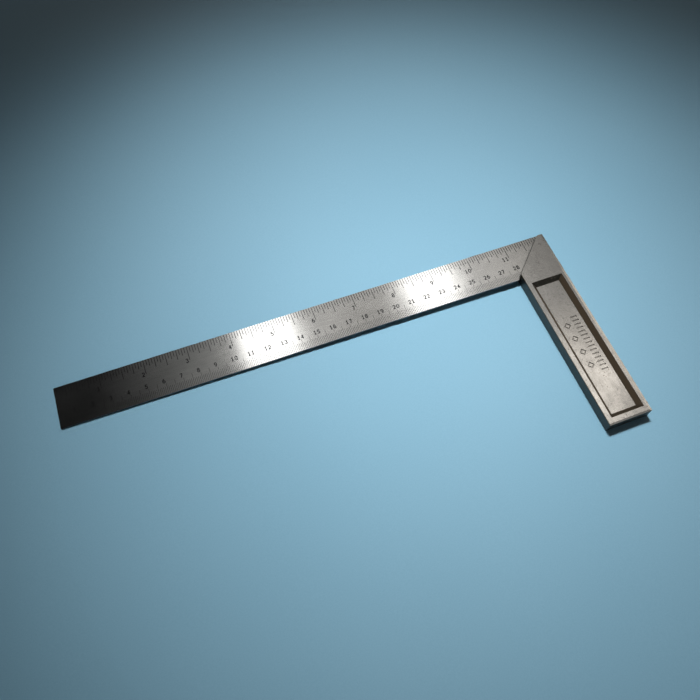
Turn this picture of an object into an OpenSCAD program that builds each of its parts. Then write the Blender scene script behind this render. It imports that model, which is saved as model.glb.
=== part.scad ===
// Fixed steel square ruler: a flat steel rule blade set in a mitred cast stock.
// Origin: the inner corner of the square, on the plane that the stock lies on.
// +X runs along the blade into the stock, +Y goes out across the blade, +Z is up.
// The blade lies half way up the stock, and its scales start at its free end.

/* [Blade] */
// Reach of the blade, from its free end to the inner face of the stock
blade_reach = 279; // [200:1:400]
// Width of the blade
blade_w = 26; // [24:0.5:30]
// Thickness of the blade
blade_t = 1; // [0.8:0.1:1.6]
// Radius of the two corners at the free end
blade_corner_r = 0.6; // [0.2:0.1:2]

/* [Stock] */
// Width of the stock, from its inner face to its outer face
stock_w = 26.5; // [26:0.5:30]
// Thickness of the stock
stock_t = 8; // [7:0.5:10]
// Length of the stock below the inner edge of the blade
stock_drop = 103.5; // [80:0.5:150]
// How far the top end of the stock stays inside the outer edge of the blade
end_setback = 1.5; // [1:0.5:4]
// Height of the foot of the mitre above the inner edge of the blade
mitre_lift = 1.5; // [0.5:0.5:3]
// Radius of the stock's corners, seen from above
stock_corner_r = 0.5; // [0.2:0.1:1]
// Width of the shallow bevel along the outer long edges
bevel_w = 1.5; // [0.5:0.1:2]
// Depth of that bevel
bevel_d = 0.45; // [0.2:0.05:0.8]
// Small edge break on the other edges
edge_break = 0.25; // [0.1:0.05:0.4]

/* [Recess] */
// Rim left beside the recess on both long sides
recess_side_rim = 3; // [2.5:0.1:5]
// Rim left below the recess
recess_end_rim = 3.8; // [3:0.1:8]
// Distance from the inner edge of the blade down to the recess
recess_top_gap = 6.3; // [4:0.1:12]
// Depth of the recess in each face
recess_d = 2.7; // [1:0.1:3]
// Upright lip at the mouth of the recess
recess_lip = 0.3; // [0.1:0.1:0.8]
// Width of the sloping wall round the recess floor
recess_slope = 2.6; // [1:0.1:4]
// Depth of the plain pattern sunk into the floor of the upper recess
pattern_d = 0.4; // [0.1:0.05:0.5]

/* [Pins] */
// Diameter of the flush pins through the stock and the blade
pin_d = 2; // [1.5:0.5:4]
// Height of the lower pin above the inner edge of the blade
lower_pin_y = 5; // [4:0.5:8]
// Distance of the upper pin from the outer face of the stock
upper_pin_inset = 5.5; // [4:0.5:8]
// Distance of the upper pin from the top end of the stock
upper_pin_drop = 7; // [5:0.5:9]

/* [Scales] */
// Length of an inch tick
inch_tick = 9.2; // [6:0.1:10]
// Length of a centimetre tick
cm_tick = 7; // [5:0.1:8]
// Width of the inch scale's ticks
inch_tick_w = 0.34; // [0.1:0.01:0.4]
// Width of the millimetre scale's ticks
mm_tick_w = 0.16; // [0.1:0.01:0.3]
// Height of the numerals
numeral_h = 2.9; // [2:0.1:3.5]
// Width of one numeral
numeral_w = 1.8; // [1.4:0.1:2]
// Thickness of a numeral's strokes
stroke_w = 0.52; // [0.2:0.02:0.6]
// Thickness of the black marking on the blade
mark_t = 0.03; // [0.02:0.01:0.06]

/* [Hidden] */

inch = 25.4;
sixteenth = inch / 16;
slot_clearance = 0.04;    // gap between the blade and each wall of its slot
tang_setback = 0.3;       // the blade's end stops this far inside the outer face
tang_relief = 0.5;        // the blade's inner edge steps back this far inside the slot
pin_chamfer = 0.15;       // chamfer round each end of a pin
end_bevel_w = 1;          // bevel across the lower end of the stock
end_bevel_d = 0.3;
lozenges = 4;             // sunk pattern: one row of lozenge outlines
lozenge_pitch = 9.1;
lozenge_w = 4.6;
lozenge_stroke = 0.8;
bars = 15;                // and one row of short bars
bar_pitch = 2.6;
bar_w = 0.9;
bar_l = 4.2;
row_gap = 2;              // clear space between the two rows
cut = 1;                  // extra length of a tool past the surface it cuts
mark_gap = 0.2;           // marks stop this far from the stock
digit_gap = 0.4;          // space between the two digits of a number

blade_z = (stock_t - blade_t) / 2;
blade_top = blade_z + blade_t;
tang_end = stock_w - tang_setback;
stock_end_y = blade_w - end_setback;
mitre_run = stock_end_y - mitre_lift;

lower_pin_at = [stock_w / 2, lower_pin_y];
upper_pin_at = [stock_w - upper_pin_inset, stock_end_y - upper_pin_drop];

steel = [0.72, 0.72, 0.70];
cast_alloy = [0.62, 0.61, 0.58];
pin_steel = [0.78, 0.78, 0.77];
marking_black = [0.05, 0.05, 0.05];

// ---- Stock ----

// Outline from above, with the 45 degree mitre beside the blade
module stock_plan() {
    r = stock_corner_r;
    intersection() {
        polygon([
            [0, -stock_drop],
            [stock_w, -stock_drop],
            [stock_w, stock_end_y],
            [mitre_run, stock_end_y],
            [0, mitre_lift]
        ]);
        union() {
            translate([0, -stock_drop + r]) square([stock_w, stock_end_y + stock_drop - r]);
            translate([r, -stock_drop]) square([stock_w - 2 * r, 2 * r]);
            for (x = [r, stock_w - r])
                translate([x, -stock_drop + r]) circle(r, $fn = 32);
        }
    }
}

// Cross-section of the stock: small breaks on the inner edges, bevels on the outer ones
module stock_section() {
    polygon([
        [edge_break, 0],
        [stock_w - bevel_w, 0],
        [stock_w, bevel_d],
        [stock_w, stock_t - bevel_d],
        [stock_w - bevel_w, stock_t],
        [edge_break, stock_t],
        [0, stock_t - edge_break],
        [0, edge_break]
    ]);
}

// Side view of the stock: a bevel at the lower end, a small break at the top end
module stock_side() {
    polygon([
        [-stock_drop + end_bevel_w, 0],
        [stock_end_y - edge_break, 0],
        [stock_end_y, edge_break],
        [stock_end_y, stock_t - edge_break],
        [stock_end_y - edge_break, stock_t],
        [-stock_drop + end_bevel_w, stock_t],
        [-stock_drop, stock_t - end_bevel_d],
        [-stock_drop, end_bevel_d]
    ]);
}

// Extrudes a section drawn in X and Z along Y, from y0 to y1
module along_y(y0, y1) {
    translate([0, y1, 0]) rotate([90, 0, 0]) linear_extrude(y1 - y0) children();
}

// Extrudes a section drawn in Y and Z along X, from x0 to x1
module along_x(x0, x1) {
    translate([x0, 0, 0]) rotate([90, 0, 90]) linear_extrude(x1 - x0) children();
}

// Section of the recess between two rims, measured up from the stock's face
function recess_points(a, b) = [
    [a, cut],
    [a, -recess_lip],
    [a + recess_slope, -recess_d],
    [b - recess_slope, -recess_d],
    [b, -recess_lip],
    [b, cut]
];

// Tool that cuts one recess, with its mouth at z = 0: sloping walls meet in mitred corners
module recess_tool() {
    x0 = recess_side_rim;
    x1 = stock_w - recess_side_rim;
    y0 = -stock_drop + recess_end_rim;
    y1 = -recess_top_gap;
    intersection() {
        along_y(y0 - cut, y1 + cut) polygon(recess_points(x0, x1));
        along_x(x0 - cut, x1 + cut) polygon(recess_points(y0, y1));
    }
}

// Outline of a lozenge, centred on the origin
module lozenge_outline() {
    rotate(45) difference() {
        square(lozenge_w / sqrt(2), center = true);
        square(lozenge_w / sqrt(2) - 2 * lozenge_stroke, center = true);
    }
}

// Tool that sinks the plain pattern into the floor of the upper recess, centred on it
module pattern_tool() {
    row_x = (stock_w - lozenge_w - row_gap - bar_l) / 2;
    mid_y = (recess_end_rim - stock_drop - recess_top_gap) / 2;
    translate([row_x, mid_y, stock_t - recess_d - pattern_d]) linear_extrude(2 * pattern_d) {
        for (i = [0 : lozenges - 1])
            translate([lozenge_w / 2, (i - (lozenges - 1) / 2) * lozenge_pitch])
                lozenge_outline();
        for (i = [0 : bars - 1])
            translate([lozenge_w + row_gap, (i - (bars - 1) / 2) * bar_pitch - bar_w / 2])
                square([bar_l, bar_w]);
    }
}

// Tool that drills both pin holes
module pin_holes() {
    for (at = [lower_pin_at, upper_pin_at])
        translate([at[0], at[1], -cut]) cylinder(d = pin_d, h = stock_t + 2 * cut, $fn = 48);
}

// One casting: mitred bar with a slot for the blade and a recess in each face
module stock() {
    slot_t = blade_t + 2 * slot_clearance;
    color(cast_alloy) difference() {
        intersection() {
            linear_extrude(stock_t) stock_plan();
            along_y(-stock_drop - cut, stock_end_y + cut) stock_section();
            along_x(-cut, stock_w + cut) stock_side();
        }
        translate([-cut, 0, blade_z - slot_clearance])
            cube([stock_w + 2 * cut, stock_end_y + cut, slot_t]);
        translate([0, 0, stock_t]) recess_tool();
        mirror([0, 0, 1]) recess_tool();
        pattern_tool();
        pin_holes();
    }
}

// ---- Blade ----

// Flat steel strip with rounded corners at its free end and two pin holes in its tang,
// which is a little narrower so that it clears the foot of the slot
module blade() {
    r = blade_corner_r;
    color(steel) difference() {
        translate([0, 0, blade_z]) linear_extrude(blade_t) union() {
            translate([-blade_reach + r, 0]) square([blade_reach - r, blade_w]);
            translate([-r, tang_relief]) square([r + tang_end, blade_w - tang_relief]);
            translate([-blade_reach, r]) square([2 * r, blade_w - 2 * r]);
            for (y = [r, blade_w - r])
                translate([-blade_reach + r, y]) circle(r, $fn = 32);
        }
        pin_holes();
    }
}

// ---- Pins ----

// Pin through both cheeks of the stock and the blade between them, ground flush at both ends
module pin(at) {
    r = pin_d / 2;
    color(pin_steel) translate([at[0], at[1], 0]) rotate_extrude($fn = 48) polygon([
        [0, 0],
        [r - pin_chamfer, 0],
        [r, pin_chamfer],
        [r, stock_t - pin_chamfer],
        [r - pin_chamfer, stock_t],
        [0, stock_t]
    ]);
}

module lower_pin() {
    pin(lower_pin_at);
}

module upper_pin() {
    pin(upper_pin_at);
}

// ---- Scales ----

// Where the stock's edge crosses the blade at x: marks end just short of it
function cover_y(x) = x < 0 ? 0 : min(x + mitre_lift, stock_end_y) + mark_gap;

// Upright bar of the marking on the blade, from y0 to y1 at x
module tick(x, y0, y1, width) {
    translate([x - width / 2, y0, blade_top]) cube([width, y1 - y0, mark_t]);
}

// Length of tick number i of the inch scale: inch, half, quarter, eighth or sixteenth
function inch_tick_len(i) =
    i % 16 == 0 ? inch_tick
    : i % 8 == 0 ? inch_tick * 0.87
    : i % 4 == 0 ? inch_tick * 0.73
    : i % 2 == 0 ? inch_tick * 0.55
    : inch_tick * 0.42;

// Inch scale in sixteenths along the outer edge of the blade
module inch_ticks() {
    last = floor((blade_reach + tang_end - inch_tick_w) / sixteenth);
    color(marking_black) for (i = [1 : last]) {
        x = i * sixteenth - blade_reach;
        tick(x, max(blade_w - inch_tick_len(i), cover_y(x)), blade_w, inch_tick_w);
    }
}

// Length of millimetre tick number i: half centimetres reach between the numerals
function mm_tick_len(i) =
    i % 10 == 0 ? cm_tick
    : i % 5 == 0 ? cm_tick * 1.15
    : cm_tick * 0.72;

// Millimetre scale along the inner edge of the blade, as far as the stock leaves it in sight
module cm_ticks() {
    last = blade_reach + floor(cm_tick - mitre_lift - 2 * mark_gap);
    color(marking_black) for (i = [1 : last]) {
        x = i - blade_reach;
        if (mm_tick_len(i) > cover_y(x) + mark_gap)
            tick(x, cover_y(x), mm_tick_len(i), mm_tick_w);
    }
}

// ---- Numerals ----
// Each digit is drawn in a box 1 wide and 1 high, as strokes and rings.

// Points of an elliptical arc from angle a to angle b
function arc(cx, cy, rx, ry, a, b, n = 10) =
    [for (i = [0 : n]) [cx + rx * cos(a + (b - a) * i / n), cy + ry * sin(a + (b - a) * i / n)]];

// Unit box to millimetres, keeping the strokes inside the numeral's size
function sized(p) = [
    stroke_w / 2 + p[0] * (numeral_w - stroke_w),
    stroke_w / 2 + p[1] * (numeral_h - stroke_w)
];

// Unit normal of a path at point i, from its neighbours
function path_normal(p, i) =
    let (a = p[max(i - 1, 0)], b = p[min(i + 1, len(p) - 1)], d = b - a)
    [-d[1], d[0]] / norm(d);

// Stroke of even width along an open path
module stroke(path) {
    p = [for (q = path) sized(q)];
    left = [for (i = [0 : len(p) - 1]) p[i] + path_normal(p, i) * stroke_w / 2];
    right = [for (i = [len(p) - 1 : -1 : 0]) p[i] - path_normal(p, i) * stroke_w / 2];
    polygon(concat(left, right));
}

// Closed oval, in unit coordinates
module ring(cx, cy, rx, ry) {
    c = sized([cx, cy]);
    rxm = rx * (numeral_w - stroke_w);
    rym = ry * (numeral_h - stroke_w);
    difference() {
        polygon(arc(c[0], c[1], rxm + stroke_w / 2, rym + stroke_w / 2, 0, 345, 23));
        polygon(arc(c[0], c[1], rxm - stroke_w / 2, rym - stroke_w / 2, 0, 345, 23));
    }
}

// Straight bar between two unit points, square ended
module bar(a, b) {
    stroke([a, b]);
}

module digit(d) {
    if (d == 0) {
        ring(0.5, 0.5, 0.5, 0.5);
    } else if (d == 1) {
        bar([0.5, -0.08], [0.5, 1.08]);
        bar([0.55, 0.98], [0.12, 0.76]);
        bar([0.08, 0], [0.92, 0]);
    } else if (d == 2) {
        stroke(concat(arc(0.5, 0.7, 0.46, 0.3, 170, -35), [[0.0, 0.0]]));
        bar([-0.1, 0], [1.05, 0]);
    } else if (d == 3) {
        stroke(arc(0.46, 0.75, 0.42, 0.25, 160, -92));
        stroke(arc(0.46, 0.26, 0.5, 0.26, 92, -165));
    } else if (d == 4) {
        bar([0.74, 1.06], [0.74, -0.07]);
        bar([0.76, 1.04], [0, 0.3]);
        bar([-0.1, 0.28], [1.1, 0.28]);
    } else if (d == 5) {
        bar([0.08, 1], [1, 1]);
        bar([0.14, 1.05], [0.08, 0.5]);
        stroke(arc(0.44, 0.32, 0.52, 0.32, 135, -155));
    } else if (d == 6) {
        ring(0.5, 0.3, 0.48, 0.3);
        stroke(arc(0.82, 0.36, 0.8, 0.66, 95, 182));
    } else if (d == 7) {
        bar([-0.02, 1], [1.08, 1]);
        bar([0.98, 1.02], [0.36, -0.07]);
    } else if (d == 8) {
        ring(0.5, 0.27, 0.48, 0.27);
        ring(0.5, 0.77, 0.4, 0.23);
    } else if (d == 9) {
        ring(0.5, 0.7, 0.48, 0.3);
        stroke(arc(0.18, 0.64, 0.8, 0.66, -85, 2));
    }
}

digit_pitch = numeral_w + digit_gap;

// Width of a whole number, with its digits side by side
function number_w(n) = n < 10 ? numeral_w : numeral_w + digit_pitch;

// A whole number from 1 to 99 with its lower left corner at x and y
module number(n, x, y) {
    translate([x, y, blade_top]) linear_extrude(mark_t) {
        if (n < 10) {
            digit(n);
        } else {
            digit(floor(n / 10));
            translate([digit_pitch, 0]) digit(n % 10);
        }
    }
}

// Inch numbers, each just left of the lower end of its tick
module inch_numerals() {
    side_gap = 0.7;
    top = blade_w - inch_tick * 0.85;
    last = floor((blade_reach + mitre_lift) / inch);
    color(marking_black) for (n = [1 : last])
        number(n, n * inch - blade_reach - side_gap - number_w(n), top - numeral_h);
}

// Centimetre numbers above their ticks: all start at the same distance left of the tick
module cm_numerals() {
    above_tick = 0.3;
    left_of_tick = 1.8;
    last = floor((blade_reach + mitre_lift) / 10);
    color(marking_black) for (n = [1 : last])
        number(n, n * 10 - blade_reach - left_of_tick, cm_tick + above_tick);
}

stock();
blade();
lower_pin();
upper_pin();
inch_ticks();
inch_numerals();
cm_ticks();
cm_numerals();
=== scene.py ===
"""Steel square ruler: surfaces, light and camera on the CAD frame. All sizes are in metres."""

import math

import bpy
from mathutils import Matrix, Vector


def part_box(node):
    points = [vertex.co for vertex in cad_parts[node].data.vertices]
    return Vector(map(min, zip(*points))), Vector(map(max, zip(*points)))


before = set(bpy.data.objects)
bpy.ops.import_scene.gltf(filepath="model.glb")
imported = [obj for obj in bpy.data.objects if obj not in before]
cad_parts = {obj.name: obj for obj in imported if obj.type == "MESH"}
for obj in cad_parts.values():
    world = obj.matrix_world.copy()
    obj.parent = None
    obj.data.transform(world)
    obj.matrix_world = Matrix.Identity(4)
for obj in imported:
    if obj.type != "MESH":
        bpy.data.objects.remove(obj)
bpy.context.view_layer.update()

MM = 0.001
CEILING = 1.0  # height of the ceiling panels


# ---- Node helpers ----


class Shader:
    """A node material or world under construction. Inputs are given by name: a value or a socket."""

    def __init__(self, owner):
        owner.use_nodes = True
        self.tree = owner.node_tree
        self.tree.nodes.clear()

    def add(self, kind, props=None, **inputs):
        node = self.tree.nodes.new(kind)
        for name, value in (props or {}).items():
            setattr(node, name, value)
        for name, value in inputs.items():
            self.put(node.inputs[name.replace("_", " ")], value)
        return node

    def put(self, socket, value):
        """Links or sets an input. A colour is given as its red, green and blue."""
        if isinstance(value, bpy.types.NodeSocket):
            self.tree.links.new(value, socket)
        elif socket.type == "RGBA":
            socket.default_value = (*value, 1)
        else:
            socket.default_value = value

    def math(self, operation, a, b=0.0, clamp=False):
        node = self.add("ShaderNodeMath", {"operation": operation, "use_clamp": clamp})
        self.put(node.inputs[0], a)
        self.put(node.inputs[1], b)
        return node.outputs[0]

    def remap(self, value, low, high, to_low=0.0, to_high=1.0, smooth=False):
        kind = "SMOOTHSTEP" if smooth else "LINEAR"
        node = self.add("ShaderNodeMapRange", {"interpolation_type": kind})
        for name, number in zip(("Value", "From Min", "From Max", "To Min", "To Max"),
                                (value, low, high, to_low, to_high)):
            self.put(node.inputs[name], number)
        return node.outputs["Result"]

    def mix(self, factor, a, b):
        """Colour a where factor is 0, colour b where it is 1."""
        node = self.add("ShaderNodeMix", {"data_type": "RGBA"})
        self.put(node.inputs[0], factor)
        self.put(node.inputs[6], a)
        self.put(node.inputs[7], b)
        return node.outputs[2]

    def layer(self, colour, mask, strength, over):
        """Lays the colour `over` on `colour` where the mask is 1, at the given strength."""
        return self.mix(self.math("MULTIPLY", mask, strength), colour, over)

    def tone(self, *layers):
        """Middle tone of 0.5, moved by each layer and kept between 0 and 1. A layer is a noise,
        its low and high end, and its reach."""
        total = 0.5
        for noise, low, high, reach in layers:
            total = self.math("ADD", total, self.remap(noise, low, high, -reach, reach))
        return self.math("ADD", total, 0.0, True)

    def place(self):
        """Position in the part's own frame, in metres."""
        return self.add("ShaderNodeTexCoord").outputs["Object"]

    def noise(self, vector, scale, detail=3.0, roughness=0.55):
        """Noise with `scale` cells per metre along each axis."""
        scaled = self.add("ShaderNodeVectorMath", {"operation": "MULTIPLY"})
        self.put(scaled.inputs[0], vector)
        self.put(scaled.inputs[1], scale)
        return self.add("ShaderNodeTexNoise", Vector=scaled.outputs[0], Scale=1.0,
                        Detail=detail, Roughness=roughness).outputs["Fac"]

    def edge(self, radius, gain):
        """1 on the object's edges and 0 on its faces, from a rounded normal."""
        rounded = self.add("ShaderNodeBevel", {"samples": 6}, Radius=radius).outputs[0]
        dot = self.add("ShaderNodeVectorMath", {"operation": "DOT_PRODUCT"})
        self.put(dot.inputs[0], rounded)
        self.put(dot.inputs[1], self.add("ShaderNodeNewGeometry").outputs["Normal"])
        return self.remap(dot.outputs["Value"], 1.0, 1.0 - gain)

    def facing_up(self, low, high):
        """0 on surfaces steeper than `low`, 1 on those flatter than `high`, by the normal's height."""
        normal = self.add("ShaderNodeNewGeometry").outputs["Normal"]
        tall = self.add("ShaderNodeSeparateXYZ", Vector=normal).outputs["Z"]
        return self.remap(self.math("ABSOLUTE", tall), low, high)

    def standing(self):
        """1 on upright side faces, 0 on the flat ones."""
        return self.math("SUBTRACT", 1.0, self.facing_up(0.2, 0.5))

    def facing_front(self, low, high):
        """1 where the normal's Y is below `low`, towards -Y, and 0 where it is above `high`."""
        normal = self.add("ShaderNodeNewGeometry").outputs["Normal"]
        across = self.add("ShaderNodeSeparateXYZ", Vector=normal).outputs["Y"]
        return self.remap(across, low, high, 1.0, 0.0)

    def corners(self, distance, low, high, local=True):
        """1 in tight inside corners, 0 in the open."""
        node = self.add("ShaderNodeAmbientOcclusion", {"samples": 8, "only_local": local},
                        Distance=distance)
        return self.remap(node.outputs["AO"], low, high, 1.0, 0.0)

    def bump(self, height, distance, strength):
        return self.add("ShaderNodeBump", Height=height, Distance=distance, Strength=strength).outputs[0]

    def surface(self, **inputs):
        shader = self.add("ShaderNodeBsdfPrincipled", **inputs)
        out = self.add("ShaderNodeOutputMaterial")
        self.put(out.inputs["Surface"], shader.outputs[0])


def material(name):
    mat = bpy.data.materials.new(name)
    return mat, Shader(mat)


# ---- Materials ----


def rule_steel():
    """Cold-rolled steel with a fine grain along the blade, faint smudges and hairline scratches, a
    painted highlight on its edges, painted shade on its thin side faces and painted shade along the
    stock."""
    mat, s = material("rule_steel")
    place = s.place()
    grain = s.noise(place, (25, 3500, 3500), 4.0)
    streak = s.noise(place, (9, 700, 700), 2.0)
    smudge = s.noise(place, (45, 60, 60), 3.0)
    scratch = s.remap(s.noise(place, (40, 1800, 1800), 1.0), 0.70, 0.76)
    blotch = s.noise(place, (160, 260, 260), 4.0, 0.65)
    tone = s.tone((grain, 0.2, 0.8, 0.15), (streak, 0.2, 0.8, 0.12),
                  (blotch, 0.25, 0.75, 0.12), (smudge, 0.2, 0.8, 0.3))
    colour = s.mix(tone, (0.52, 0.515, 0.50), (0.70, 0.69, 0.67))
    colour = s.layer(colour, scratch, 0.35, (0.82, 0.81, 0.79))
    # Painted highlight: the blade's edge lines are made lighter.
    colour = s.layer(colour, s.edge(0.15 * MM, 0.3), 0.6, (0.80, 0.79, 0.77))
    # Painted shade: the blade's thin side faces are made dark navy.
    colour = s.layer(colour, s.standing(), 0.9, (0.045, 0.055, 0.07))
    # Painted shade: near black where the blade meets the stock and in other tight corners.
    painted_contact_shade = s.corners(1.0 * MM, 0.55, 0.85, local=False)
    colour = s.layer(colour, painted_contact_shade, 0.95, (0.04, 0.035, 0.03))
    rough = s.remap(grain, 0.2, 0.8, 0.15, 0.18)
    rough = s.math("ADD", rough, s.remap(smudge, 0.35, 0.75, 0.0, 0.03))
    tangent = s.add("ShaderNodeTangent", {"direction_type": "RADIAL", "axis": "X"}).outputs[0]
    s.surface(Base_Color=colour, Metallic=1.0, Roughness=rough, Anisotropic=0.9,
              Tangent=tangent, Normal=s.bump(grain, 0.002 * MM, 0.08))
    return mat


def cast_stock():
    """Mottled and pitted casting with painted shade on its side faces, dull recess walls with painted
    shade that is darkest where they face -Y, edges lighter partly from rubbing and partly as a painted
    highlight, a browner tint in its wider corners and painted shade in its tight corners."""
    mat, s = material("cast_stock")
    place = s.place()
    mottle = s.noise(place, (260, 160, 260), 5.0, 0.65)
    cloud = s.noise(place, (60, 35, 60), 3.0)
    grit = s.noise(place, (2200, 2200, 2200), 3.0)
    pits = s.remap(s.noise(place, (900, 900, 900), 2.0), 0.61, 0.70)
    face = s.facing_up(0.80, 0.92)
    tone = s.tone((mottle, 0.25, 0.75, 0.4), (cloud, 0.3, 0.7, 0.3))
    colour = s.mix(tone, (0.40, 0.39, 0.37), (0.58, 0.565, 0.54))
    # Painted shade: the recess walls are dark brown, and near black where they face -Y.
    painted_shade_wall = s.mix(s.facing_front(-0.6, -0.3), (0.20, 0.16, 0.115), (0.05, 0.048, 0.042))
    colour = s.mix(face, painted_shade_wall, colour)
    # Painted shade: upright faces, the outer sides and the recess walls, are made nearly black.
    colour = s.layer(colour, s.standing(), 0.9, (0.06, 0.063, 0.062))
    colour = s.layer(colour, pits, 0.6, (0.20, 0.18, 0.16))
    # Browner in the wider inside corners.
    colour = s.layer(colour, s.corners(2.5 * MM, 0.35, 0.95), 0.4, (0.16, 0.13, 0.10))
    # Painted shade: near black in tight corners and in the pockets of the relief.
    colour = s.layer(colour, s.corners(0.9 * MM, 0.5, 0.9), 0.85, (0.03, 0.025, 0.02))
    # Lighter edge lines: partly rubbed metal, partly a painted highlight.
    colour = s.layer(colour, s.edge(0.25 * MM, 0.25), 0.55, (0.80, 0.78, 0.74))
    rough = s.remap(tone, 0.0, 1.0, 0.24, 0.19)
    rough = s.math("ADD", rough, s.remap(face, 0.0, 1.0, 0.22, 0.0))
    relief = s.math("ADD", s.math("MULTIPLY", grit, 0.5), mottle)
    s.surface(Base_Color=colour, Metallic=1.0, Roughness=rough,
              Normal=s.bump(relief, 0.03 * MM, 0.5))
    return mat


def pin_steel():
    """Pin ends ground flush with the stock: nearly the same grey, with a finer grain."""
    mat, s = material("pin_steel")
    place = s.place()
    grain = s.noise(place, (3000, 400, 3000), 3.0)
    blotch = s.noise(place, (500, 500, 500), 3.0)
    tone = s.math("ADD", s.math("MULTIPLY", grain, 0.6), s.math("MULTIPLY", blotch, 0.4), True)
    colour = s.mix(tone, (0.40, 0.39, 0.37), (0.56, 0.545, 0.52))
    rough = s.remap(tone, 0.2, 0.8, 0.24, 0.19)
    s.surface(Base_Color=colour, Metallic=1.0, Roughness=rough,
              Normal=s.bump(grain, 0.004 * MM, 0.5))
    return mat


def scale_marking():
    """Blackened, etched scale marks: a dark metal that is a little thin and worn in places."""
    mat, s = material("scale_marking")
    place = s.place()
    wear = s.remap(s.noise(place, (700, 2200, 700), 4.0), 0.45, 0.85)
    fine = s.noise(place, (6000, 6000, 6000), 2.0)
    colour = s.mix(wear, (0.055, 0.055, 0.06), (0.12, 0.118, 0.114))
    rough = s.remap(fine, 0.2, 0.8, 0.18, 0.26)
    s.surface(Base_Color=colour, Metallic=1.0, Roughness=rough,
              Normal=s.bump(fine, 0.004 * MM, 0.4))
    return mat


def table_blue():
    """Pale blue table top with a faint sheen."""
    mat, s = material("table_blue")
    place = s.place()
    speck = s.noise(place, (1500, 1500, 1500), 2.0)
    cloud = s.noise(place, (4, 4, 4), 2.0)
    tone = s.tone((speck, 0.2, 0.8, 0.3), (cloud, 0.2, 0.8, 0.3))
    colour = s.mix(tone, (0.225, 0.44, 0.58), (0.285, 0.515, 0.66))
    s.surface(Base_Color=colour, Roughness=0.5, Specular_IOR_Level=0.5)
    return mat


def dress(node, mat):
    """Puts one material in all of a CAD node's slots."""
    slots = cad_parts[node].data.materials
    if not slots:
        slots.append(mat)
    for i in range(len(slots)):
        slots[i] = mat


def dress_all():
    steel, stock, pin, black = rule_steel(), cast_stock(), pin_steel(), scale_marking()
    dress("blade", steel)
    dress("stock", stock)
    for node in ("lower_pin", "upper_pin"):
        dress(node, pin)
    for node in ("inch_ticks", "inch_numerals", "cm_ticks", "cm_numerals"):
        dress(node, black)


# ---- Stage ----


def table():
    """Table top. The square rests on its stock and on the tip of its blade, so the table is
    turned by the small angle between those two and the CAD's lower plane."""
    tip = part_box("blade")[0]
    slope = tip.z / tip.x
    half = 3.0
    outline = ((-half, -half), (half, -half), (half, half), (-half, half))
    corners = [(x, y, slope * x) for x, y in outline]
    mesh = bpy.data.meshes.new("table")
    mesh.from_pydata(corners, [], [(0, 1, 2, 3)])
    mesh.materials.append(table_blue())
    top = bpy.data.objects.new("table", mesh)
    bpy.context.scene.collection.objects.link(top)


def lamp(name, centre, aim, size, radiance, colour=(1, 1, 1), spread=180):
    """Rectangular lamp panel at centre, turned to aim, with its second size near Y. As made here
    it shows in reflections only, so it does not wash out the key's shadows."""
    light = bpy.data.lights.new(name, "AREA")
    light.shape = "RECTANGLE"
    light.size, light.size_y = size
    light.color = colour
    light.spread = math.radians(spread)
    light.energy = radiance * math.pi * size[0] * size[1]
    panel = bpy.data.objects.new(name, light)
    back = (Vector(centre) - Vector(aim)).normalized()
    across = Vector((0, 1, 0)).cross(back).normalized()
    along = back.cross(across)
    panel.matrix_world = Matrix((across, along, back)).transposed().to_4x4()
    panel.matrix_world.translation = centre
    panel.visible_diffuse = False
    bpy.context.scene.collection.objects.link(panel)
    return panel


def ceiling_panel(name, x, y, size, radiance, colour=(1, 1, 1)):
    """Panel on the ceiling that faces straight down."""
    lamp(name, (x, y, CEILING), (x, y, 0), size, radiance, colour)


def lamps():
    """Two bright ceiling strips, each with a dim one to its right, a panel as bright beyond them,
    and two warmer, dimmer panels on the right. The key is the exception: it lights the matt table
    and casts the shadows, but shows in no reflection."""
    strip_y, strip_length, strip_radiance = 0.62, 0.60, 2.5
    ceiling_panel("strip_left", -0.0865, strip_y, (0.125, strip_length), strip_radiance)
    ceiling_panel("strip_right", 0.3055, strip_y, (0.120, strip_length), strip_radiance)
    ceiling_panel("glow_left", 0.033, strip_y, (0.115, strip_length), 0.13)
    ceiling_panel("glow_right", 0.44, strip_y, (0.14, strip_length), 0.22)
    ceiling_panel("far_panel", 0.17, 1.05, (0.60, 0.24), 2.6)
    ceiling_panel("soft_panel", 0.51, 0.23, (0.22, 0.22), 1.7, (1.0, 0.94, 0.87))
    lamp("side_panel", (1.06, 0.24, 0.55), (0.02, -0.05, 0), (0.35, 0.50), 1.0, (1.0, 0.93, 0.82))
    key = lamp("key", (-0.02, 0.40, 1.05), (-0.06, -0.01, 0), (0.18, 0.14), 7.4, spread=34)
    key.visible_glossy = False
    key.visible_diffuse = True


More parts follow.
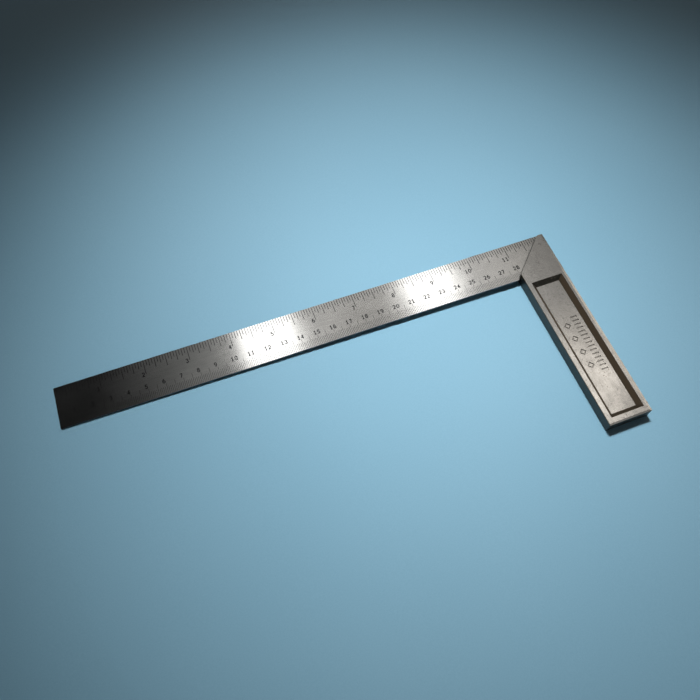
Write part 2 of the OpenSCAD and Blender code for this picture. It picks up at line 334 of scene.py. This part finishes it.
def room():
    """World light by direction, where sideways and forward are X and Y over the height. It is
    bright from overhead to the right and dimmer beyond that, dark just left of overhead, and mid
    grey far to the left, far ahead and on the camera's side. Matt surfaces get little of it, so
    shadows stay dark."""
    world = bpy.data.worlds.new("room")
    bpy.context.scene.world = world
    s = Shader(world)
    ray = s.add("ShaderNodeTexCoord").outputs["Generated"]
    parts = s.add("ShaderNodeSeparateXYZ", Vector=ray)
    lowest = 0.12  # keeps both ratios finite at the horizon and below it
    height = s.math("MAXIMUM", parts.outputs["Z"], lowest)
    sideways = s.math("DIVIDE", parts.outputs["X"], height)
    forward = s.math("DIVIDE", parts.outputs["Y"], height)
    dark, bright, right_share, rear_share = 0.008, 0.42, 0.38, 0.08
    left_fill, rear_fill, front_fill, matt_share = 0.26, 0.36, 0.26, 0.08
    level = s.remap(sideways, -0.22, 0.14, dark, bright, True)
    level = s.math("MULTIPLY", level, s.remap(sideways, 0.52, 0.57, 1.0, right_share, True))
    level = s.math("MULTIPLY", level, s.remap(forward, -1.8, -0.6, rear_share, 1.0, True))
    level = s.math("ADD", level, s.remap(sideways, -0.85, -0.5, left_fill, 0.0, True))
    level = s.math("MAXIMUM", level, s.remap(forward, -0.7, -0.15, rear_fill, 0.0, True))
    level = s.math("MAXIMUM", level, s.remap(forward, 1.1, 1.7, 0.0, front_fill, True))
    on_matt = s.add("ShaderNodeLightPath").outputs["Is Diffuse Ray"]
    level = s.math("MULTIPLY", level, s.remap(on_matt, 0.0, 1.0, 1.0, matt_share))
    tint = s.mix(s.remap(sideways, -0.3, 0.2), (0.92, 0.98, 1.0), (1.0, 0.985, 0.95))
    tint = s.mix(s.remap(sideways, -1.2, -0.5), (1.0, 0.93, 0.86), tint)
    sky = s.add("ShaderNodeBackground", Color=tint, Strength=level)
    out = s.add("ShaderNodeOutputWorld")
    s.put(out.inputs["Surface"], sky.outputs[0])


def camera():
    """Camera that looks down on the scales from the front and a little to the left."""
    target = Vector((-0.1148, -0.0092, 0.0045))
    distance = 0.4011
    azimuth = math.radians(-20.8)
    elevation = math.radians(61.9)
    roll = math.radians(0.3)
    reach = math.cos(elevation)
    back = Vector((math.sin(azimuth) * reach, -math.cos(azimuth) * reach, math.sin(elevation)))
    data = bpy.data.cameras.new("camera")
    data.lens, data.sensor_width = 35.78, 36.0
    data.clip_start, data.clip_end = 0.01, 20.0
    cam = bpy.data.objects.new("camera", data)
    turn = (-back).to_track_quat("-Z", "Y").to_matrix() @ Matrix.Rotation(roll, 3, "Z")
    cam.matrix_world = turn.to_4x4()
    cam.matrix_world.translation = target + back * distance
    bpy.context.scene.collection.objects.link(cam)
    bpy.context.scene.camera = cam
    bpy.context.scene.view_settings.view_transform = "Standard"


camera()
dress_all()
table()
lamps()
room()
